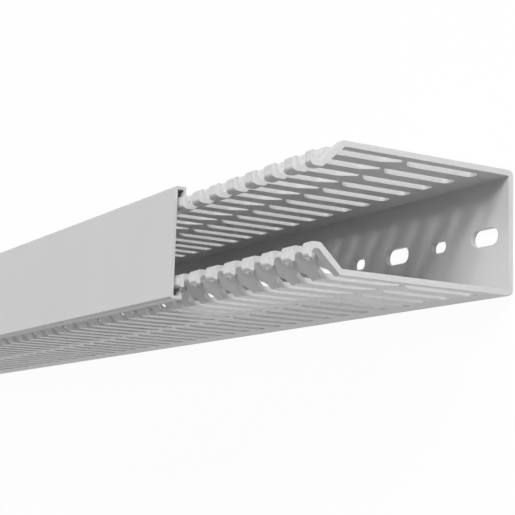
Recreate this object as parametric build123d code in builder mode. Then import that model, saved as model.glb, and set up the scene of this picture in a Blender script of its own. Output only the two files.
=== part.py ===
from build123d import *
from math import tan, radians
import os

os.makedirs("parts", exist_ok=True)

# A slotted wire duct: a U-shaped channel in rigid PVC, punched along both walls, and its clip-on cover.
# X runs along the duct with the near end at +X, Y across it, and Z up from the underside of the base.

# lengths along the duct
length = 500.0            # cut length of the channel and of the cover
cover_offset = 89.0       # how far the cover is slid back from the near end

# section of the channel
width = 42.0              # over the outside of the two walls
wall = 2.0                # walls, necks and heads
base_thickness = 2.0
base_corner = 2.0         # outer radius along the two long edges of the base
neck_angle = 43.0         # lean of the neck away from the upright wall
head_depth = 9.35         # from the outer face of the wall to the innermost line of the head
nose_height = 79.2        # from the underside of the base to the top of the heads
leg_thickness = 1.7       # the part of the head that turns back down towards the outside
notch_gap = 2.2           # width of the notch between the neck and the leg, at its closed end
leg_tip_depth = 4.6       # from the outer face of the wall to the tip of the leg
nose_bevel = 1.2          # breaks the inner edge of the heads
tip_bevel = 0.5           # breaks the tip of the leg

# wire slots, in two rows up each wall
pitch = 12.5
slot_width = 6.1
slot_start = 7.0          # near end to the middle of the first slot
low_slot_bottom = 10.5
low_slot_corner = 1.3     # cut off the two lower corners
low_slot_top = 40.4       # on the side towards the near end
slot_end_angle = 34.0     # both slots' ends at the bridge slant down towards the far end
far_corner_run = 2.2      # cut off the far corner of the lower slot's upper end
far_corner_drop = 2.4
bridge = 1.5              # break-off web between the two slots of a pair
peak_width = 2.2          # of the lower end of the upper slot, before it widens
taper_height = 6.6        # the upper slot widens over this height
slit_width = 0.5          # gap between neighbouring fingers on the neck
drop_rise = 2.7           # rounded end of the upper slot above the bend
shoulder_drop = 6.4       # head top to the shoulders that keep the wires in
mouth_width = 5.8         # between the flat sides of neighbouring heads
head_corner_run = 1.05    # the corners of the heads, seen from the side of the duct
head_corner_rise = 2.0

# fixing holes, one row along the middle of the base
hole_start = 12.5
hole_spacing = 25.0
long_hole_length = 14.0
long_hole_width = 6.0
short_hole_length = 8.0
short_hole_width = 4.2

# cover
cover_thickness = 1.2
lip_thickness = 1.1
lip_inset = 0.65          # the cover is this much narrower than the channel on each side
hook_thickness = 1.0      # of the edge along each lip that turns in under the legs
hook_reach = 0.8          # how far it reaches in past the tip of the leg
cover_chamfer = 0.65
fit_gap = 0.3             # running clearance between the cover and the heads

half = width / 2
lean = radians(neck_angle)
near_end = length / 2

# channel section, drawn for the +Y wall and mirrored
notch_depth = head_depth - wall
leg_back = nose_height - leg_thickness
neck_at_notch = leg_back - notch_gap
bend_height = neck_at_notch - notch_depth / tan(lean)     # where each wall turns inwards
inner_bend = (half - wall, bend_height - wall * tan(lean / 2))
inner_neck_height = inner_bend[1] + notch_depth / tan(lean)
leg_tip_y = half - leg_tip_depth
head_y = half - head_depth
notch_y = half - notch_depth

with BuildPart() as duct_channel:
    with BuildSketch(Plane.YZ.offset(-near_end)) as section:
        with BuildLine():
            Polyline(
                (0, 0), (half, 0), (half, bend_height),
                (notch_y, neck_at_notch), (notch_y, leg_back), (leg_tip_y, leg_back),
                (leg_tip_y, nose_height), (head_y, nose_height), (head_y, inner_neck_height),
                inner_bend, (half - wall, base_thickness), (0, base_thickness), (0, 0))
        make_face()
        corner = lambda y, z: section.vertices().sort_by_distance((y, z, 0))[0]
        fillet(corner(half, 0), base_corner)
        chamfer(corner(head_y, nose_height), nose_bevel)
        chamfer(corner(leg_tip_y, nose_height), tip_bevel)
        chamfer(corner(leg_tip_y, leg_back), tip_bevel)
        mirror(about=Plane.YZ)
    extrude(amount=length)

    # one outline through both walls cuts the upper slot, the slit and the mouth between two heads
    slots = int((length - slot_start - slot_width / 2) // pitch) + 1
    s = slot_width / 2
    g = slit_width / 2
    m = mouth_width / 2
    slope = tan(radians(slot_end_angle))
    low_slot_far = low_slot_top - (slot_width - far_corner_run) * slope
    upper_slot_near = low_slot_top + bridge
    upper_slot_peak = upper_slot_near - peak_width * slope
    slit_start = bend_height + drop_rise
    shoulder = nose_height - shoulder_drop
    flank = nose_height - head_corner_rise
    with BuildSketch(Plane.XZ) as pairs:
        for i in range(slots):
            with Locations((near_end - slot_start - i * pitch, 0)):
                Polygon((s, low_slot_bottom + low_slot_corner), (s - low_slot_corner, low_slot_bottom),
                        (low_slot_corner - s, low_slot_bottom), (-s, low_slot_bottom + low_slot_corner),
                        (-s, low_slot_far - far_corner_drop), (far_corner_run - s, low_slot_far),
                        (s, low_slot_top), align=None)
                Polygon((s, upper_slot_near), (s - peak_width, upper_slot_peak),
                        (-s, upper_slot_peak + taper_height), (-s, bend_height),
                        (-s * 0.85, bend_height + drop_rise * 0.5), (-s * 0.5, bend_height + drop_rise * 0.85),
                        (-g, slit_start), (-g, shoulder), (-m, shoulder), (-m, flank),
                        (-m - head_corner_run, nose_height), (-m - head_corner_run, nose_height + 1),
                        (m + head_corner_run, nose_height + 1), (m + head_corner_run, nose_height),
                        (m, flank), (m, shoulder), (g, shoulder), (g, slit_start),
                        (s * 0.5, bend_height + drop_rise * 0.85), (s * 0.85, bend_height + drop_rise * 0.5),
                        (s, bend_height), align=None)
    extrude(amount=width, both=True, mode=Mode.SUBTRACT)

    # long and short fixing holes take turns along the base
    holes = int((length - hole_start - long_hole_length / 2) // hole_spacing) + 1
    with BuildSketch(Plane.XY) as fixing:
        for i in range(holes):
            with Locations((near_end - hole_start - i * hole_spacing, 0)):
                if i % 2 == 0:
                    SlotOverall(long_hole_length, long_hole_width)
                else:
                    SlotOverall(short_hole_length, short_hole_width)
    extrude(amount=base_thickness, mode=Mode.SUBTRACT)

duct_channel.part.label = "duct_channel"
export_step(duct_channel.part, "parts/duct_channel.step")

# cover section: a flat plate with two lips whose edges turn in under the legs of the heads
cover_low = nose_height + fit_gap
cover_top = cover_low + cover_thickness
cover_half = half - lip_inset
hook_top = leg_back - fit_gap
lip_low = hook_top - hook_thickness
hook_y = leg_tip_y - hook_reach

with BuildPart() as duct_cover:
    with BuildSketch(Plane.YZ.offset(-near_end - cover_offset)) as cover_section:
        with BuildLine():
            Polyline(
                (0, cover_top), (cover_half - cover_chamfer, cover_top), (cover_half, cover_top - cover_chamfer),
                (cover_half, lip_low), (hook_y, lip_low), (hook_y, hook_top),
                (cover_half - lip_thickness, hook_top), (cover_half - lip_thickness, cover_low),
                (0, cover_low), (0, cover_top))
        make_face()
        mirror(about=Plane.YZ)
    extrude(amount=length)

duct_cover.part.label = "duct_cover"
export_step(duct_cover.part, "parts/duct_cover.step")
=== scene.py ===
from math import atan2, ceil, cos, radians, sin, tan

import bmesh
import bpy
from bpy.props import FloatProperty, PointerProperty, StringProperty
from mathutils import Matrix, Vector


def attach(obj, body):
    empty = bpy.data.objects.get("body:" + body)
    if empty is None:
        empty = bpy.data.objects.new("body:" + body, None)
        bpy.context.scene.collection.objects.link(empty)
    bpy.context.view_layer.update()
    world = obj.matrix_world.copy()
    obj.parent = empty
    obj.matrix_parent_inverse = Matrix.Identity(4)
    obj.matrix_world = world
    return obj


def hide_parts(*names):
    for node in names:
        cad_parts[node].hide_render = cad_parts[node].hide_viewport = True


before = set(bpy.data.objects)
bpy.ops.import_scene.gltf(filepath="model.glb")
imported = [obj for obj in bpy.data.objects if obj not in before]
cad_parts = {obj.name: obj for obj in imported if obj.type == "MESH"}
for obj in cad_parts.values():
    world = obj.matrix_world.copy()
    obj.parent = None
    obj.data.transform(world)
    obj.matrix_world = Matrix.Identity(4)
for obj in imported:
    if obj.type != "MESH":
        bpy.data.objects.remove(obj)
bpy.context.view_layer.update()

bl_info = {
    "name": "Slotted wire duct",
    "version": (1, 0, 0),
    "blender": (4, 5, 0),
    "location": "View3D > Sidebar > Wire duct",
    "description": "Finishes the channel and the cover of a slotted wire duct and sets up the studio",
    "category": "Object",
}

MM = 0.001

# the channel's section in mm, as the frame has it: Y across, Z up
LENGTH = 500.0
HALF = 21.0                        # half the width over the outside of the walls
WALL = 2.0                         # base, walls, necks and heads
NOSE_HEIGHT = 79.2                 # top of the heads
NECK_ANGLE = radians(43.0)         # lean of the necks away from the upright walls
HEAD_DEPTH = 9.35                  # wall's outer face to the innermost line of the head
LEG_THICKNESS = 1.7                # the leg is the part of the head that turns back outwards
LEG_TIP_DEPTH = 4.4                # wall's outer face to the tip of the leg
NOTCH_GAP = 2.2                    # between the neck and the leg

# radii of the section's corners in mm
BASE_RADIUS = 2.0
BEND_RADIUS = 0.5
NOTCH_FOOT_RADIUS = 1.8
NOTCH_TOP_RADIUS = 1.3
LEG_TIP_UNDER_RADIUS = 0.25
LEG_TIP_TOP_RADIUS = 1.4
NOSE_RADIUS = 2.0
HEAD_FOOT_RADIUS = 1.6
FLOOR_RADIUS = 0.3

# wire slots in mm, in two rows up each wall
PITCH = 12.5
SLOT_START = 7.0                   # near end to the middle of the first pair
SLOT_WIDTH = 6.1
SLOT_END_ANGLE = radians(34.0)     # both slots' ends at the bridge slant down towards the far end
LOW_SLOT_BOTTOM = 10.5
LOW_SLOT_TOP = 40.4                # on the side towards the near end
BRIDGE = 1.5                       # break-off web between the two slots of a pair
PEAK_WIDTH = 2.2                   # of the upper slot's lower end, before it widens
TAPER_HEIGHT = 6.6                 # the upper slot widens over this height
DROP_RISE = 1.95                   # rounded end of the upper slot above the bend
SLIT_WIDTH = 0.5                   # between neighbouring fingers on the neck
SHOULDER_DROP = 6.4                # top of the heads to the shoulders that keep the wires in
MOUTH_WIDTH = 5.8                  # between the flat sides of neighbouring heads
HEAD_CORNER_RADIUS = 2.46
HEAD_CORNER_TURN = radians(55.0)
HEAD_CORNER_STEPS = 4

# radii of the slots' corners in mm
LOW_SLOT_FOOT_RADIUS = 1.9
LOW_SLOT_FAR_RADIUS = 4.4
TIGHT_RADIUS = 0.4                 # both slots' near corners at the bridge, and the shoulders
PEAK_RADIUS = 0.5
TAPER_RADIUS = 1.5
DROP_RADIUS = 1.6
SLIT_FOOT_RADIUS = 1.19
SLIT_TOP_RADIUS = 1.2

# fixing holes in mm, long and short by turns: length and width
HOLE_START = 12.5                  # near end to the middle of the first hole
HOLE_SPACING = 25.0
LONG_HOLE = (14.0, 6.0)
SHORT_HOLE = (8.0, 4.2)

# places in mm that follow from these
NEAR_END = LENGTH / 2
HALF_SLOT = SLOT_WIDTH / 2
HALF_SLIT = SLIT_WIDTH / 2
HALF_MOUTH = MOUTH_WIDTH / 2
INNER_Y = HALF - WALL
HEAD_Y = HALF - HEAD_DEPTH
NOTCH_Y = HEAD_Y + WALL
LEG_TIP_Y = HALF - LEG_TIP_DEPTH
LEG_BACK = NOSE_HEIGHT - LEG_THICKNESS
NOTCH_HEIGHT = LEG_BACK - NOTCH_GAP
NECK_RISE = (HEAD_DEPTH - WALL) / tan(NECK_ANGLE)
BEND_HEIGHT = NOTCH_HEIGHT - NECK_RISE
INNER_BEND = BEND_HEIGHT - WALL * tan(NECK_ANGLE / 2)

# outlines: the turn of one step of an arc, and the distance in mm at which two points are one
ARC_STEP = radians(18.0)
SAME_POINT = 0.02

# punches in mm: how far they reach past the heads and the base, and where they end outside the walls
OVERREACH = 1.0
PUNCH_END = HALF + 4.0

# heights between which the fingers' outer edges are fully rounded, and those at which that has faded out
ROUNDED = (BEND_HEIGHT + 0.5, NOTCH_HEIGHT - 1.9)
FADED = (BEND_HEIGHT - 1.0, NOTCH_HEIGHT - 0.1)

# Rings of a flared punch, from the inside out. The first two numbers are how far a ring is let out and how
# deep it lies under the face, in roundings. The third is its depth in mm where the rounding has faded out.
FLARE_RINGS = (
    [(-0.06, 1.25, 0.8)]
    + [(1 - cos(radians(a)), 1 - sin(radians(a)), 0.6 - a / 150) for a in (22, 44, 66)]
    + [(1.3, -0.06, -1.0)])
FLARE_START = 5.0                  # where a flared punch starts, between the middle and the heads
FLARE_SLACK = 0.03                 # a faded ring stays this far inside the slot that is already cut

# edges and faces
SHARP_TURN = radians(50)           # at sharper edges the shading breaks and the cover is blunted
PUNCHED_TURN = radians(36)         # at sharper edges between plain faces the channel is blunted
PARALLEL_TOLERANCE = 0.002         # of the smallest part of a plain face's normal
FEWEST_FACES = 1000                # the channel has far fewer if the punches fail

# rigid PVC
PLASTIC_GREY = "c8c8c8"
PVC_IOR = 1.53
TONE_SPREAD = 0.03
ROUGHNESS_SPREAD = 0.05
DRAW_LINE_DEPTH = 0.05 * MM
GRAIN_DEPTH = 0.02 * MM

# studio: places in metres, turns in degrees
WHITE = (1.0, 1.0, 1.0, 1.0)
BOARD_COLOUR = "f5f5f5"
LAMP_DISTANCE = 1.5
LAMP_AIM = Vector((0, 0, 0.04))
CAMERA_PLACE = (0.591729, -0.083502, 0.290112)
CAMERA_TURN = (12.63074, 60.07449, 3.77302)
SENSOR_WIDTH = 36.0                # mm
# each lamp's name, the setting that gives its power and its share of it, azimuth, elevation and side
LAMPS = (
    ("key", "key", 0.47, 30, 30, 0.25),
    ("high key", "key", 0.53, 44, 38, 0.35),
    ("back light", "back", 0.72, 180, 52, 0.5),
    ("high back light", "back", 0.28, 160, 60, 0.5),
    ("low fill", "fill", 0.76, 340, 4, 0.5),
    ("side fill", "fill", 0.24, 285, 4, 0.5),
)


def linear(hex_colour):
    """An sRGB hex value such as "c3c3c3" as the linear colour that the shaders take."""
    channels = [int(hex_colour[i:i + 2], 16) / 255 for i in (0, 2, 4)]
    return tuple(c / 12.92 if c <= 0.04045 else ((c + 0.055) / 1.055) ** 2.4 for c in channels) + (1.0,)


def add_node(tree, kind, settings=None, values=None, links=None):
    """Adds a node: settings are its properties, values its inputs, links its inputs from other sockets."""
    node = tree.nodes.new(kind)
    for name, value in (settings or {}).items():
        setattr(node, name, value)
    for name, value in (values or {}).items():
        node.inputs[name].default_value = value
    for name, socket in (links or {}).items():
        tree.links.new(socket, node.inputs[name])
    return node


def empty_tree(owner):
    """Gives a material or a world a node tree with nothing in it."""
    owner.use_nodes = True
    owner.node_tree.nodes.clear()
    return owner.node_tree


def rigid_pvc(name, colour, roughness):
    """Extruded rigid PVC: satin, with faint draw lines along the profile and a slight unevenness."""
    material = bpy.data.materials.new(name)
    tree = empty_tree(material)
    place = add_node(tree, "ShaderNodeTexCoord")
    # draw lines of about 0.6 mm, drawn out along the profile
    along = add_node(tree, "ShaderNodeMapping", values={"Scale": (3.0, 900.0, 900.0)},
                     links={"Vector": place.outputs["Object"]})
    lines = add_node(tree, "ShaderNodeTexNoise", values={"Scale": 1.0, "Detail": 2.0},
                     links={"Vector": along.outputs["Vector"]})
    # the melt sets a little unevenly, over about 25 mm
    swell = add_node(tree, "ShaderNodeTexNoise", values={"Scale": 40.0, "Detail": 1.0},
                     links={"Vector": place.outputs["Object"]})
    # matt grain of the calibrating sleeve, about 0.3 mm
    grain = add_node(tree, "ShaderNodeTexNoise", values={"Scale": 3300.0, "Detail": 1.0},
                     links={"Vector": place.outputs["Object"]})
    tone = add_node(tree, "ShaderNodeMapRange",
                    values={"To Min": 1.0 - TONE_SPREAD, "To Max": 1.0 + TONE_SPREAD},
                    links={"Value": swell.outputs["Fac"]})
    tint = add_node(tree, "ShaderNodeMix", {"data_type": "RGBA", "blend_type": "MULTIPLY"},
                    {"Factor": 1.0})
    tint.inputs["A"].default_value = linear(colour)
    tree.links.new(tone.outputs["Result"], tint.inputs["B"])
    gloss = add_node(tree, "ShaderNodeMapRange",
                     values={"To Min": roughness - ROUGHNESS_SPREAD,
                             "To Max": roughness + ROUGHNESS_SPREAD},
                     links={"Value": lines.outputs["Fac"]})
    drawn = add_node(tree, "ShaderNodeBump", values={"Strength": 0.35, "Distance": DRAW_LINE_DEPTH},
                     links={"Height": lines.outputs["Fac"]})
    fine = add_node(tree, "ShaderNodeBump", values={"Strength": 0.15, "Distance": GRAIN_DEPTH},
                    links={"Height": grain.outputs["Fac"], "Normal": drawn.outputs["Normal"]})
    shader = add_node(tree, "ShaderNodeBsdfPrincipled", values={"IOR": PVC_IOR, "Metallic": 0.0},
                      links={"Base Color": tint.outputs["Result"], "Roughness": gloss.outputs["Result"],
                             "Normal": fine.outputs["Normal"]})
    add_node(tree, "ShaderNodeOutputMaterial", links={"Surface": shader.outputs["BSDF"]})
    return material


def seen_rays(tree):
    """The output is 1 for the rays that show the background: straight, mirrored or through glass."""
    rays = add_node(tree, "ShaderNodeLightPath")
    seen = rays.outputs["Is Camera Ray"]
    for kind in ("Is Glossy Ray", "Is Transmission Ray"):
        either = add_node(tree, "ShaderNodeMath", {"operation": "MAXIMUM"},
                          links={0: seen, 1: rays.outputs[kind]})
        seen = either.outputs[0]
    return seen


def white_board(name, colour, keep):
    """Matt painted board that is white where it is seen and keeps a share of the object's shadow."""
    material = bpy.data.materials.new(name)
    tree = empty_tree(material)
    matt = add_node(tree, "ShaderNodeBsdfDiffuse", values={"Color": linear(colour)})
    glow = add_node(tree, "ShaderNodeEmission", values={"Color": WHITE, "Strength": 1.0})
    share = add_node(tree, "ShaderNodeMath", {"operation": "MULTIPLY"}, {1: 1.0 - keep},
                     links={0: seen_rays(tree)})
    both = add_node(tree, "ShaderNodeMixShader",
                    links={0: share.outputs[0], 1: matt.outputs[0], 2: glow.outputs[0]})
    add_node(tree, "ShaderNodeOutputMaterial", links={"Surface": both.outputs[0]})
    return material


def round_corners(outline):
    """Takes (a, b, radius) corners in mm and returns the outline's points, with an arc at each corner."""
    points = []
    for i, (a, b, radius) in enumerate(outline):
        here = Vector((a, b))
        if radius == 0:
            points.append(here)
            continue
        back = (Vector(outline[i - 1][:2]) - here).normalized()
        ahead = (Vector(outline[(i + 1) % len(outline)][:2]) - here).normalized()
        half_angle = back.angle(ahead) / 2
        centre = here + (back + ahead).normalized() * (radius / sin(half_angle))
        start = here + back * (radius / tan(half_angle)) - centre
        end = here + ahead * (radius / tan(half_angle)) - centre
        turn = atan2(start.x * end.y - start.y * end.x, start.dot(end))
        steps = max(1, ceil(abs(turn) / ARC_STEP))
        for k in range(steps + 1):
            angle = turn * k / steps
            points.append(centre + Vector((start.x * cos(angle) - start.y * sin(angle),
                                           start.x * sin(angle) + start.y * cos(angle))))
    return [p for i, p in enumerate(points) if (p - points[i - 1]).length > SAME_POINT]


def mirrored(side):
    """Closes an outline that is given as its right side, from bottom to top."""
    return side + [(-a, b, radius) for a, b, radius in reversed(side)]


def prism(mesh, points, to_world, low, high):
    """Adds the closed prism of an outline to a bmesh: to_world places (a, b, depth) in mm."""
    ends = [[mesh.verts.new(to_world(p.x, p.y, depth) * MM) for p in points] for depth in (low, high)]
    mesh.faces.new(ends[0])
    mesh.faces.new(reversed(ends[1]))
    for i in range(len(points)):
        j = (i + 1) % len(points)
        mesh.faces.new((ends[0][j], ends[0][i], ends[1][i], ends[1][j]))


def new_object(name, mesh):
    """Turns a bmesh into an object of the scene, with its faces pointing outwards."""
    bmesh.ops.recalc_face_normals(mesh, faces=mesh.faces)
    data = bpy.data.meshes.new(name)
    mesh.to_mesh(data)
    mesh.free()
    piece = bpy.data.objects.new(name, data)
    bpy.context.scene.collection.objects.link(piece)
    return piece


def apply_modifiers(piece):
    """Replaces the object's mesh by the one that its modifiers make."""
    shaped = bpy.data.meshes.new_from_object(piece.evaluated_get(bpy.context.evaluated_depsgraph_get()))
    piece.modifiers.clear()
    piece.data = shaped


def shade_curves(piece):
    """Shades the object smooth over its curves, and leaves its corners sharp."""
    piece.data.shade_smooth()
    piece.data.set_sharp_from_angle(angle=SHARP_TURN)


def coat(piece, material):
    """Gives the object one material."""
    piece.data.materials.clear()
    piece.data.materials.append(material)


def channel_blank():
    """The extruded section before punching."""
    side = [
        (HALF, 0, BASE_RADIUS),
        (HALF, BEND_HEIGHT, BEND_RADIUS),
        (NOTCH_Y, NOTCH_HEIGHT, NOTCH_FOOT_RADIUS),
        (NOTCH_Y, LEG_BACK, NOTCH_TOP_RADIUS),
        (LEG_TIP_Y, LEG_BACK, LEG_TIP_UNDER_RADIUS),
        (LEG_TIP_Y, NOSE_HEIGHT, LEG_TIP_TOP_RADIUS),
        (HEAD_Y, NOSE_HEIGHT, NOSE_RADIUS),
        (HEAD_Y, INNER_BEND + NECK_RISE, HEAD_FOOT_RADIUS),
        (INNER_Y, INNER_BEND, BEND_RADIUS),
        (INNER_Y, WALL, FLOOR_RADIUS)]
    mesh = bmesh.new()
    prism(mesh, round_corners(mirrored(side)), lambda y, z, x: Vector((x, y, z)), -NEAR_END, NEAR_END)
    return new_object("channel", mesh)


def slot_middles():
    """The places of the pairs of slots along X."""
    pairs = int((LENGTH - SLOT_START - HALF_SLOT) // PITCH) + 1
    return [NEAR_END - SLOT_START - i * PITCH for i in range(pairs)]


def upper_slot_side():
    """The right side, from bottom to top, of the part of an upper slot that lies in the neck and the head."""
    slit_start = BEND_HEIGHT + DROP_RISE
    shoulder = NOSE_HEIGHT - SHOULDER_DROP
    return [(HALF_SLOT, BEND_HEIGHT, 0), (HALF_SLOT, slit_start, DROP_RADIUS),
            (HALF_SLIT, slit_start, SLIT_FOOT_RADIUS), (HALF_SLIT, shoulder, SLIT_TOP_RADIUS),
            (HALF_MOUTH, shoulder, TIGHT_RADIUS)]


def straight_punches():
    """Both slots of each pair with the slit and the mouth between the heads, and the fixing holes."""
    slope = tan(SLOT_END_ANGLE)
    low_slot = round_corners([
        (HALF_SLOT, LOW_SLOT_BOTTOM, LOW_SLOT_FOOT_RADIUS),
        (-HALF_SLOT, LOW_SLOT_BOTTOM, LOW_SLOT_FOOT_RADIUS),
        (-HALF_SLOT, LOW_SLOT_TOP - SLOT_WIDTH * slope, LOW_SLOT_FAR_RADIUS),
        (HALF_SLOT, LOW_SLOT_TOP, TIGHT_RADIUS)])
    head_corner = []
    for k in range(HEAD_CORNER_STEPS + 1):
        angle = HEAD_CORNER_TURN * k / HEAD_CORNER_STEPS
        head_corner.append((HALF_MOUTH + HEAD_CORNER_RADIUS * (1 - cos(angle)),
                            NOSE_HEIGHT + HEAD_CORNER_RADIUS * (sin(angle) - sin(HEAD_CORNER_TURN)), 0))
    top = (head_corner[-1][0], NOSE_HEIGHT + OVERREACH, 0)
    peak = LOW_SLOT_TOP + BRIDGE - PEAK_WIDTH * slope
    upper_slot = round_corners(mirrored(upper_slot_side() + head_corner + [top]) + [
        (-HALF_SLOT, peak + TAPER_HEIGHT, TAPER_RADIUS),
        (HALF_SLOT - PEAK_WIDTH, peak, PEAK_RADIUS),
        (HALF_SLOT, LOW_SLOT_TOP + BRIDGE, TIGHT_RADIUS)])
    mesh = bmesh.new()
    for middle in slot_middles():
        for outline in (low_slot, upper_slot):
            prism(mesh, outline, lambda x, z, y: Vector((middle + x, y, z)), -PUNCH_END, PUNCH_END)
    for i in range(int((LENGTH - HOLE_START - LONG_HOLE[0] / 2) // HOLE_SPACING) + 1):
        middle = NEAR_END - HOLE_START - i * HOLE_SPACING
        length, width = (LONG_HOLE, SHORT_HOLE)[i % 2]
        a, b = length / 2, width / 2
        hole = round_corners([(a, b, b), (-a, b, b), (-a, -b, b), (a, -b, b)])
        prism(mesh, hole, lambda x, y, z: Vector((middle + x, y, z)), -OVERREACH, WALL + OVERREACH)
    return new_object("straight punches", mesh)


def flare_sections(rounding):
    """The rings of a flared punch through the +Y wall, as (x, y, z) in mm with X from the slot's middle."""
    outline = round_corners(mirrored([(HALF_SLOT, FADED[0], 0)] + upper_slot_side() + [
        (HALF_MOUTH, ROUNDED[1], 0),
        (HALF_MOUTH, (ROUNDED[1] + FADED[1]) / 2, 0),
        (HALF_MOUTH, FADED[1], 0)]))
    rings = [[] for ring in FLARE_RINGS]
    for i, point in enumerate(outline):
        before = (point - outline[i - 1]).normalized()
        after = (outline[(i + 1) % len(outline)] - point).normalized()
        out = Vector((before.y + after.y, -before.x - after.x)).normalized() / cos(before.angle(after) / 2)
        fade = min(1, max(0, (point.y - FADED[0]) / (ROUNDED[0] - FADED[0])),
                   max(0, (FADED[1] - point.y) / (FADED[1] - ROUNDED[1])))
        radius, rest = rounding * fade, 1 - fade
        for ring, (let_out, depth, spare) in zip(rings, FLARE_RINGS):
            x, z = point + out * (let_out * radius - FLARE_SLACK * rest)
            surface = HALF - max(0, z - BEND_HEIGHT) * tan(NECK_ANGLE)
            ring.append((x, surface - (depth * radius + spare * rest) / cos(NECK_ANGLE), z))
    start = [(x, FLARE_START, z) for x, y, z in rings[0]]
    end = [(x, PUNCH_END, z) for x, y, z in rings[-1]]
    return [start] + rings + [end]


def flared_punches(rounding):
    """Rounds the fingers' edges on the necks' outer faces: each punch widens just under that face."""
    sections = flare_sections(rounding)
    mesh = bmesh.new()
    for middle in slot_middles():
        for side in (-1, 1):
            loops = [[mesh.verts.new(Vector((middle + x, side * y, z)) * MM) for x, y, z in section]
                     for section in sections]
            mesh.faces.new(loops[0])
            mesh.faces.new(reversed(loops[-1]))
            for low, high in zip(loops, loops[1:]):
                for i in range(len(low)):
                    j = (i + 1) % len(low)
                    mesh.faces.new((low[j], low[i], high[i]))
                    mesh.faces.new((low[j], high[i], high[j]))
    return new_object("flared punches", mesh)


def is_plain(face):
    """A plain face is parallel to X, Y or Z, and the rounded ones on the necks are not."""
    return min(abs(way) for way in face.normal) < PARALLEL_TOLERANCE


def weigh_edges(data):
    """Marks the sharp edges between plain faces for the bevel, and leaves out those on rounded faces."""
    mesh = bmesh.new()
    mesh.from_mesh(data)
    weight = mesh.edges.layers.float.new("bevel_weight_edge")
    for edge in mesh.edges:
        if (len(edge.link_faces) == 2 and edge.calc_face_angle() > PUNCHED_TURN
                and all(is_plain(face) for face in edge.link_faces)):
            edge[weight] = 1.0
    mesh.to_mesh(data)
    mesh.free()


def soft_box(name, azimuth, elevation, size, power):
    """A square area lamp that faces the object: azimuth is in degrees from +X towards +Y."""
    lamp = bpy.data.lights.new(name, "AREA")
    lamp.shape = "SQUARE"
    lamp.size = size
    lamp.energy = power
    box = bpy.data.objects.new(name, lamp)
    bpy.context.scene.collection.objects.link(box)
    a, e = radians(azimuth), radians(elevation)
    place = Vector((cos(a) * cos(e), sin(a) * cos(e), sin(e))) * LAMP_DISTANCE
    box.location = place
    box.rotation_euler = (place - LAMP_AIM).to_track_quat("Z", "Y").to_euler()
    box.visible_camera = False


def lay_floor(size, shadow):
    """A square white board under the object, which keeps a share of its shadow."""
    half = size / 2
    sheet = bpy.data.meshes.new("floor")
    sheet.from_pydata([(-half, -half, 0), (half, -half, 0), (half, half, 0), (-half, half, 0)], [],
                      [(0, 1, 2, 3)])
    floor = bpy.data.objects.new("floor", sheet)
    bpy.context.scene.collection.objects.link(floor)
    floor.data.materials.append(white_board("matt white board", BOARD_COLOUR, shadow))


def light_room(sky):
    """The world lights the object evenly and is white where it is seen."""
    world = bpy.data.worlds.new("room")
    bpy.context.scene.world = world
    tree = empty_tree(world)
    room = add_node(tree, "ShaderNodeBackground", values={"Color": WHITE, "Strength": sky})
    white = add_node(tree, "ShaderNodeBackground", values={"Color": WHITE, "Strength": 1.0})
    both = add_node(tree, "ShaderNodeMixShader",
                    links={0: seen_rays(tree), 1: room.outputs[0], 2: white.outputs[0]})
    add_node(tree, "ShaderNodeOutputWorld", links={"Surface": both.outputs[0]})


def place_camera(focal_length):
    """The camera stands at the photograph's viewing angle."""
    lens = bpy.data.cameras.new("camera")
    lens.lens = focal_length
    lens.sensor_width = SENSOR_WIDTH
    camera = bpy.data.objects.new("camera", lens)
    bpy.context.scene.collection.objects.link(camera)
    camera.location = CAMERA_PLACE
    camera.rotation_euler = [radians(turn) for turn in CAMERA_TURN]
    bpy.context.scene.camera = camera


class DuctChannelSettings(bpy.types.PropertyGroup):
    colour: StringProperty(
        name="Colour", description="sRGB hex value of the plastic", default=PLASTIC_GREY)
    roughness: FloatProperty(
        name="Roughness", description="Satin of the extruded surface", default=0.38, min=0.1, max=1.0)
    rounding: FloatProperty(
        name="Edge rounding", description="Blunting of the punched and sawn edges",
        default=0.12 * MM, min=0.01 * MM, max=0.5 * MM, unit="LENGTH", precision=5)
    finger_rounding: FloatProperty(
        name="Finger rounding", description="Rounding of the fingers' outer edges",
        default=0.9 * MM, min=0.1 * MM, max=1.2 * MM, unit="LENGTH", precision=5)


class DuctCoverSettings(bpy.types.PropertyGroup):
    colour: StringProperty(
        name="Colour", description="sRGB hex value of the plastic", default=PLASTIC_GREY)
    roughness: FloatProperty(
        name="Roughness", description="Satin of the extruded surface", default=0.6, min=0.1, max=1.0)
    rounding: FloatProperty(
        name="Edge rounding", description="Blunting of the cover's edges",
        default=0.12 * MM, min=0.01 * MM, max=0.5 * MM, unit="LENGTH", precision=5)


class DuctStageSettings(bpy.types.PropertyGroup):
    floor_size: FloatProperty(
        name="Floor size", description="Side of the square floor", default=30.0, min=1.0, unit="LENGTH")
    shadow: FloatProperty(
        name="Kept shadow", description="Share of the object's shadow that the floor shows",
        default=0.04, min=0.0, max=1.0, subtype="FACTOR")
    key: FloatProperty(
        name="Key lights", description="Power of the two soft boxes in front",
        default=16.2, min=0.0, unit="POWER")
    back: FloatProperty(
        name="Back lights", description="Power of the two soft boxes over the far end",
        default=10.0, min=0.0, unit="POWER")
    fill: FloatProperty(
        name="Fill lights", description="Power of the two low soft boxes",
        default=6.4, min=0.0, unit="POWER")
    sky: FloatProperty(
        name="Sky", description="Strength of the even light of the room", default=0.03, min=0.0)
    lens: FloatProperty(
        name="Lens", description="Focal length of the camera in mm", default=95.33, min=20.0)


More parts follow.
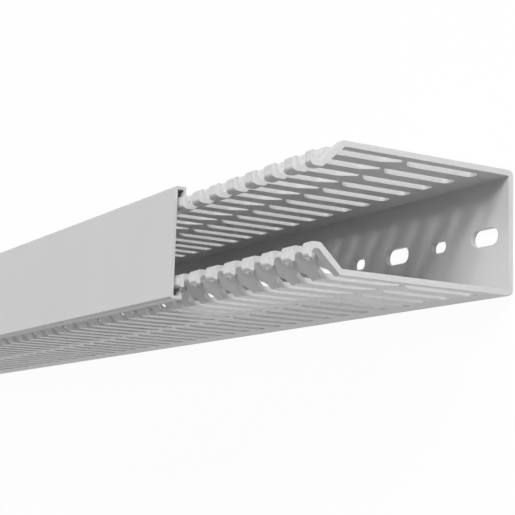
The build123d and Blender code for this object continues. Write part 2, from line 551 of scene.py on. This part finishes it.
class DUCT_OT_channel(bpy.types.Operator):
    """Finish the punched channel"""
    bl_idname = "wire_duct.channel"
    bl_label = "Channel"

    def execute(self, context):
        settings = context.scene.duct_channel
        channel = channel_blank()
        for punches in (straight_punches(), flared_punches(settings.finger_rounding / MM)):
            cut = channel.modifiers.new(punches.name, "BOOLEAN")
            cut.operation = "DIFFERENCE"
            cut.solver = "MANIFOLD"
            cut.object = punches
            apply_modifiers(channel)
            bpy.data.objects.remove(punches)
        if len(channel.data.polygons) < FEWEST_FACES:
            raise RuntimeError("the punches did not cut the channel")
        weigh_edges(channel.data)
        blunt = channel.modifiers.new("blunt edges", "BEVEL")
        blunt.width = settings.rounding
        blunt.segments = 1
        blunt.limit_method = "WEIGHT"
        blunt.use_clamp_overlap = False
        # the bevel slides no vertex along an edge between two holes, which would fold the face there
        blunt.loop_slide = False
        apply_modifiers(channel)
        shade_curves(channel)
        flat = channel.modifiers.new("flat faces stay flat", "WEIGHTED_NORMAL")
        flat.keep_sharp = True
        apply_modifiers(channel)
        coat(channel, rigid_pvc("rigid PVC, extruded and punched", settings.colour, settings.roughness))
        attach(channel, "channel")
        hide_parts("duct_channel")
        return {"FINISHED"}


class DUCT_OT_cover(bpy.types.Operator):
    """Finish the clip-on cover"""
    bl_idname = "wire_duct.cover"
    bl_label = "Cover"

    def execute(self, context):
        settings = context.scene.duct_cover
        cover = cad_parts["duct_cover"]
        if cover.type != "MESH":
            raise RuntimeError("duct_cover is not a mesh")
        coat(cover, rigid_pvc("rigid PVC, extruded", settings.colour, settings.roughness))
        shade_curves(cover)
        blunt = cover.modifiers.new("blunt edges", "BEVEL")
        blunt.width = settings.rounding
        blunt.segments = 2
        blunt.limit_method = "ANGLE"
        blunt.angle_limit = SHARP_TURN
        blunt.harden_normals = True
        return {"FINISHED"}


class DUCT_OT_stage(bpy.types.Operator):
    """Set up the floor, the lamps, the room's light and the camera"""
    bl_idname = "wire_duct.stage"
    bl_label = "Studio"

    def execute(self, context):
        settings = context.scene.duct_stage
        context.scene.view_settings.view_transform = "Standard"
        lay_floor(settings.floor_size, settings.shadow)
        for name, setting, share, azimuth, elevation, size in LAMPS:
            soft_box(name, azimuth, elevation, size, getattr(settings, setting) * share)
        light_room(settings.sky)
        place_camera(settings.lens)
        return {"FINISHED"}


class DUCT_PT_panel(bpy.types.Panel):
    """Lists the pieces of the wire duct"""
    bl_idname = "DUCT_PT_panel"
    bl_label = "Wire duct"
    bl_space_type = "VIEW_3D"
    bl_region_type = "UI"
    bl_category = "Wire duct"

    def draw(self, context):
        for operator, settings in ((DUCT_OT_channel, context.scene.duct_channel),
                                   (DUCT_OT_cover, context.scene.duct_cover),
                                   (DUCT_OT_stage, context.scene.duct_stage)):
            box = self.layout.box()
            box.operator(operator.bl_idname)
            for name in settings.bl_rna.properties.keys():
                if name not in ("rna_type", "name"):
                    box.prop(settings, name)


SETTINGS = {"duct_channel": DuctChannelSettings, "duct_cover": DuctCoverSettings,
            "duct_stage": DuctStageSettings}
CLASSES = tuple(SETTINGS.values()) + (DUCT_OT_channel, DUCT_OT_cover, DUCT_OT_stage, DUCT_PT_panel)


def register():
    for cls in CLASSES:
        bpy.utils.register_class(cls)
    for name, group in SETTINGS.items():
        setattr(bpy.types.Scene, name, PointerProperty(type=group))


def unregister():
    for name in SETTINGS:
        delattr(bpy.types.Scene, name)
    for cls in reversed(CLASSES):
        bpy.utils.unregister_class(cls)


def main():
    register()
    bpy.ops.wire_duct.channel()
    bpy.ops.wire_duct.cover()
    bpy.ops.wire_duct.stage()
    bpy.context.view_layer.update()


if __name__ == "__main__":
    main()
